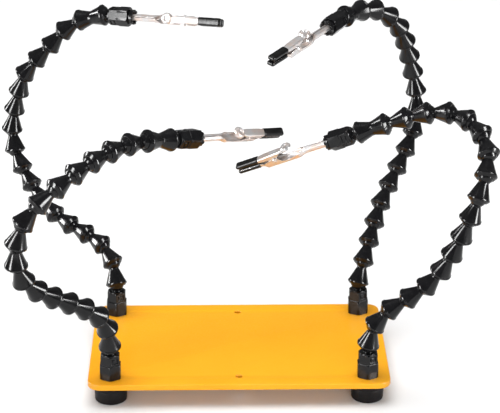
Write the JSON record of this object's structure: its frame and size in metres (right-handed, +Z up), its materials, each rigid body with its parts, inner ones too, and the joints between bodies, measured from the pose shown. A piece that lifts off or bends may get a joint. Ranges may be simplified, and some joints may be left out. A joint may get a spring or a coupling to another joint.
{
  "type": "helping hands clamp",
  "caption": "Bench helping hands: steel base plate on rubber feet with flexible ball-and-socket arms that end in sleeved crocodile clips.",
  "frame": {"origin": "on the table, below the middle of the base plate", "axes": "+Z up; +X along the long side of the plate to the right; -Y towards the front, where a user sits"},
  "size_m": [0.3344, 0.2631, 0.2353],
  "materials": {
    "plate_coat": "glossy orange-yellow powder coat on steel",
    "foot_rubber": "satin moulded black rubber",
    "zinc_steel": "bright zinc-plated steel",
    "black_acetal": "glossy moulded black acetal",
    "clip_steel": "nickel-plated pressed steel, with a warm tint",
    "spring_steel": "drawn spring wire",
    "sleeve_pvc": "soft black PVC, satin"
  },
  "bodies": {
    "base": {"base_plate": "plate_coat", "rubber_feet": "foot_rubber", "foot_screws": "zinc_steel", "base_fittings": "black_acetal"},
    "back_left_links_1": {"back_left_links_1": "black_acetal"},
    "back_left_links_2": {"back_left_links_2": "black_acetal"},
    "back_left_links_3": {"back_left_links_3": "black_acetal"},
    "back_left_links_4": {"back_left_links_4": "black_acetal"},
    "back_left_links_5": {"back_left_links_5": "black_acetal"},
    "back_left_links_6": {"back_left_links_6": "black_acetal"},
    "back_left_coupler": {"back_left_end_coupler": "black_acetal"},
    "back_left_clip": {"back_left_clip_holder": "black_acetal", "back_left_lower_jaw": "clip_steel", "back_left_lower_sleeve": "sleeve_pvc", "back_left_pivot_rivet": "clip_steel", "back_left_jaw_spring": "spring_steel"},
    "back_left_upper_jaw": {"back_left_upper_jaw": "clip_steel", "back_left_upper_sleeve": "sleeve_pvc"},
    "front_left_links_1": {"front_left_links_1": "black_acetal"},
    "front_left_links_2": {"front_left_links_2": "black_acetal"},
    "front_left_links_3": {"front_left_links_3": "black_acetal"},
    "front_left_links_4": {"front_left_links_4": "black_acetal"},
    "front_left_links_5": {"front_left_links_5": "black_acetal"},
    "front_left_links_6": {"front_left_links_6": "black_acetal"},
    "front_left_coupler": {"front_left_end_coupler": "black_acetal"},
    "front_left_clip": {"front_left_clip_holder": "black_acetal", "front_left_lower_jaw": "clip_steel", "front_left_lower_sleeve": "sleeve_pvc", "front_left_pivot_rivet": "clip_steel", "front_left_jaw_spring": "spring_steel"},
    "front_left_upper_jaw": {"front_left_upper_jaw": "clip_steel", "front_left_upper_sleeve": "sleeve_pvc"},
    "back_right_links_1": {"back_right_links_1": "black_acetal"},
    "back_right_links_2": {"back_right_links_2": "black_acetal"},
    "back_right_links_3": {"back_right_links_3": "black_acetal"},
    "back_right_links_4": {"back_right_links_4": "black_acetal"},
    "back_right_links_5": {"back_right_links_5": "black_acetal"},
    "back_right_links_6": {"back_right_links_6": "black_acetal"},
    "back_right_coupler": {"back_right_end_coupler": "black_acetal"},
    "back_right_clip": {"back_right_clip_holder": "black_acetal", "back_right_lower_jaw": "clip_steel", "back_right_lower_sleeve": "sleeve_pvc", "back_right_pivot_rivet": "clip_steel", "back_right_jaw_spring": "spring_steel"},
    "back_right_upper_jaw": {"back_right_upper_jaw": "clip_steel", "back_right_upper_sleeve": "sleeve_pvc"},
    "front_right_links_1": {"front_right_links_1": "black_acetal"},
    "front_right_links_2": {"front_right_links_2": "black_acetal"},
    "front_right_links_3": {"front_right_links_3": "black_acetal"},
    "front_right_links_4": {"front_right_links_4": "black_acetal"},
    "front_right_links_5": {"front_right_links_5": "black_acetal"},
    "front_right_links_6": {"front_right_links_6": "black_acetal"},
    "front_right_coupler": {"front_right_end_coupler": "black_acetal"},
    "front_right_clip": {"front_right_clip_holder": "black_acetal", "front_right_lower_jaw": "clip_steel", "front_right_lower_sleeve": "sleeve_pvc", "front_right_pivot_rivet": "clip_steel", "front_right_jaw_spring": "spring_steel"},
    "front_right_upper_jaw": {"front_right_upper_jaw": "clip_steel", "front_right_upper_sleeve": "sleeve_pvc"}
  },
  "joints": [
    {"name": "back_left_bend_1", "type": "hinge", "parent": "base", "child": "back_left_links_1", "pos_m": [-0.085, 0.052, 0.0385], "axis": [-0.9248, -0.3805, 0], "range_deg": [-40, 0]},
    {"name": "back_left_bend_2", "type": "hinge", "parent": "back_left_links_1", "child": "back_left_links_2", "pos_m": [-0.10617, 0.07547, 0.06646], "axis": [-0.399, -0.0901, -0.9125], "range_deg": [-24, 24]},
    {"name": "back_left_bend_3", "type": "hinge", "parent": "back_left_links_2", "child": "back_left_links_3", "pos_m": [-0.13868, 0.10174, 0.08214], "axis": [0.3021, 0.7747, -0.5555], "range_deg": [-30, 18]},
    {"name": "back_left_bend_4", "type": "hinge", "parent": "back_left_links_3", "child": "back_left_links_4", "pos_m": [-0.15961, 0.12782, 0.11179], "axis": [0.7572, 0.6494, -0.0699], "range_deg": [-46, 0]},
    {"name": "back_left_bend_5", "type": "hinge", "parent": "back_left_links_4", "child": "back_left_links_5", "pos_m": [-0.15526, 0.12829, 0.15528], "axis": [0.9552, -0.0174, -0.2954], "range_deg": [-24, 24]},
    {"name": "back_left_bend_6", "type": "hinge", "parent": "back_left_links_5", "child": "back_left_links_6", "pos_m": [-0.1313, 0.12095, 0.19173], "axis": [-0.6125, -0.6392, 0.4651], "range_deg": [-26, 20]},
    {"name": "back_left_wrist_bend", "type": "hinge", "parent": "back_left_links_6", "child": "back_left_coupler", "pos_m": [-0.10952, 0.11684, 0.2116], "axis": [0.3964, 0.8813, -0.2574], "range_deg": [-42, 5]},
    {"name": "back_left_wrist_turn", "type": "hinge", "parent": "back_left_coupler", "child": "back_left_clip", "pos_m": [-0.09236, 0.11068, 0.21695], "axis": [0.9171, -0.3959, 0.0463], "continuous": true},
    {"name": "back_left_jaw", "type": "hinge", "parent": "back_left_clip", "child": "back_left_upper_jaw", "pos_m": [-0.03543, 0.0846, 0.22041], "axis": [-0.1091, -0.3609, -0.9262], "range_deg": [0, 26], "stiffness_Nm_per_rad": 0.08, "springref_deg": -20.05, "deforming": ["back_left_jaw_spring"]},
    {"name": "front_left_bend_1", "type": "hinge", "parent": "base", "child": "front_left_links_1", "pos_m": [-0.085, -0.052, 0.0385], "axis": [-0.2018, -0.9657, -0.1634], "range_deg": [0, 18]},
    {"name": "front_left_bend_2", "type": "hinge", "parent": "front_left_links_1", "child": "front_left_links_2", "pos_m": [-0.09869, -0.0727, 0.07421], "axis": [-0.6194, -0.1484, -0.7709], "range_deg": [-24, 24]},
    {"name": "front_left_bend_3", "type": "hinge", "parent": "front_left_links_2", "child": "front_left_links_3", "pos_m": [-0.12667, -0.09857, 0.09814], "axis": [-0.5694, 0.7988, 0.1941], "range_deg": [-32, 0]},
    {"name": "front_left_bend_4", "type": "hinge", "parent": "front_left_links_3", "child": "front_left_links_4", "pos_m": [-0.1376, -0.11528, 0.13634], "axis": [0.9184, 0.3791, -0.1134], "range_deg": [-3, 16]},
    {"name": "front_left_bend_5", "type": "hinge", "parent": "front_left_links_4", "child": "front_left_links_5", "pos_m": [-0.11259, -0.11007, 0.17094], "axis": [-0.6792, 0.4398, 0.5876], "range_deg": [-38, 1]},
    {"name": "front_left_bend_6", "type": "hinge", "parent": "front_left_links_5", "child": "front_left_links_6", "pos_m": [-0.08025, -0.08232, 0.18484], "axis": [0.2228, -0.0258, -0.9745], "range_deg": [-24, 24]},
    {"name": "front_left_wrist_bend", "type": "hinge", "parent": "front_left_links_6", "child": "front_left_coupler", "pos_m": [-0.05757, -0.06285, 0.185], "axis": [-0.651, 0.7582, -0.0373], "range_deg": [-18, 1]},
    {"name": "front_left_wrist_turn", "type": "hinge", "parent": "front_left_coupler", "child": "front_left_clip", "pos_m": [-0.04332, -0.05078, 0.18151], "axis": [0.7727, 0.6107, -0.1729], "continuous": true},
    {"name": "front_left_jaw", "type": "hinge", "parent": "front_left_clip", "child": "front_left_upper_jaw", "pos_m": [0.00601, -0.01336, 0.17152], "axis": [0.2445, -0.5378, -0.8068], "range_deg": [0, 26], "stiffness_Nm_per_rad": 0.08, "springref_deg": -20.05, "deforming": ["front_left_jaw_spring"]},
    {"name": "back_right_bend_1", "type": "hinge", "parent": "base", "child": "back_right_links_1", "pos_m": [0.085, 0.052, 0.0385], "axis": [-0.7791, 0.6269, 0], "range_deg": [-22, 2]},
    {"name": "back_right_bend_2", "type": "hinge", "parent": "back_right_links_1", "child": "back_right_links_2", "pos_m": [0.09714, 0.07561, 0.0738], "axis": [0.8715, -0.4839, 0.0791], "range_deg": [-24, 24]},
    {"name": "back_right_bend_3", "type": "hinge", "parent": "back_right_links_2", "child": "back_right_links_3", "pos_m": [0.11461, 0.10352, 0.10438], "axis": [0.8893, -0.3927, -0.2343], "range_deg": [-24, 10]},
    {"name": "back_right_bend_4", "type": "hinge", "parent": "back_right_links_3", "child": "back_right_links_4", "pos_m": [0.13001, 0.12653, 0.13923], "axis": [0.6975, -0.6971, 0.1659], "range_deg": [-44, 4]},
    {"name": "back_right_bend_5", "type": "hinge", "parent": "back_right_links_4", "child": "back_right_links_5", "pos_m": [0.12325, 0.12225, 0.18229], "axis": [-0.3577, -0.817, -0.4523], "range_deg": [-24, 24]},
    {"name": "back_right_bend_6", "type": "hinge", "parent": "back_right_links_5", "child": "back_right_links_6", "pos_m": [0.10714, 0.1003, 0.21767], "axis": [0.3322, -0.8469, -0.4152], "range_deg": [-40, 8]},
    {"name": "back_right_wrist_bend", "type": "hinge", "parent": "back_right_links_6", "child": "back_right_coupler", "pos_m": [0.08581, 0.08251, 0.22764], "axis": [0.4156, -0.4861, -0.7687], "range_deg": [-20, 20]},
    {"name": "back_right_wrist_turn", "type": "hinge", "parent": "back_right_coupler", "child": "back_right_clip", "pos_m": [0.07375, 0.06784, 0.22777], "axis": [-0.5824, -0.8042, -0.1189], "continuous": true},
    {"name": "back_right_jaw", "type": "hinge", "parent": "back_right_clip", "child": "back_right_upper_jaw", "pos_m": [0.03742, 0.01706, 0.22176], "axis": [-0.8027, 0.5458, 0.2402], "range_deg": [0, 26], "stiffness_Nm_per_rad": 0.08, "springref_deg": -20.05, "deforming": ["back_right_jaw_spring"]},
    {"name": "front_right_bend_1", "type": "hinge", "parent": "base", "child": "front_right_links_1", "pos_m": [0.085, -0.052, 0.0385], "axis": [0.3698, 0.9291, 0], "range_deg": [-24, 7]},
    {"name": "front_right_bend_2", "type": "hinge", "parent": "front_right_links_1", "child": "front_right_links_2", "pos_m": [0.10945, -0.0583, 0.07378], "axis": [-0.637, -0.2355, 0.734], "range_deg": [-24, 24]},
    {"name": "front_right_bend_3", "type": "hinge", "parent": "front_right_links_2", "child": "front_right_links_3", "pos_m": [0.13613, -0.0673, 0.10803], "axis": [-0.012, -0.9657, -0.2594], "range_deg": [0, 20]},
    {"name": "front_right_bend_4", "type": "hinge", "parent": "front_right_links_3", "child": "front_right_links_4", "pos_m": [0.15089, -0.07503, 0.14966], "axis": [-0.9488, 0.0433, 0.313], "range_deg": [-40, 2]},
    {"name": "front_right_bend_5", "type": "hinge", "parent": "front_right_links_4", "child": "front_right_links_5", "pos_m": [0.15507, -0.04874, 0.18304], "axis": [-0.4314, -0.6196, 0.6558], "range_deg": [-28, 3]},
    {"name": "front_right_bend_6", "type": "hinge", "parent": "front_right_links_5", "child": "front_right_links_6", "pos_m": [0.12315, -0.02034, 0.18816], "axis": [-0.4347, -0.5901, 0.6803], "range_deg": [-36, 12]},
    {"name": "front_right_wrist_bend", "type": "hinge", "parent": "front_right_links_6", "child": "front_right_coupler", "pos_m": [0.09621, -0.01205, 0.17796], "axis": [0.3719, -0.0761, -0.9252], "range_deg": [-24, 24]},
    {"name": "front_right_wrist_turn", "type": "hinge", "parent": "front_right_coupler", "child": "front_right_clip", "pos_m": [0.07936, -0.00734, 0.17056], "axis": [-0.8573, 0.3169, -0.4058], "continuous": true},
    {"name": "front_right_jaw", "type": "hinge", "parent": "front_right_clip", "child": "front_right_upper_jaw", "pos_m": [0.02486, 0.01208, 0.14634], "axis": [0.1362, 0.8996, 0.4149], "range_deg": [0, 26], "stiffness_Nm_per_rad": 0.08, "springref_deg": -20.05, "deforming": ["front_right_jaw_spring"]}
  ]
}
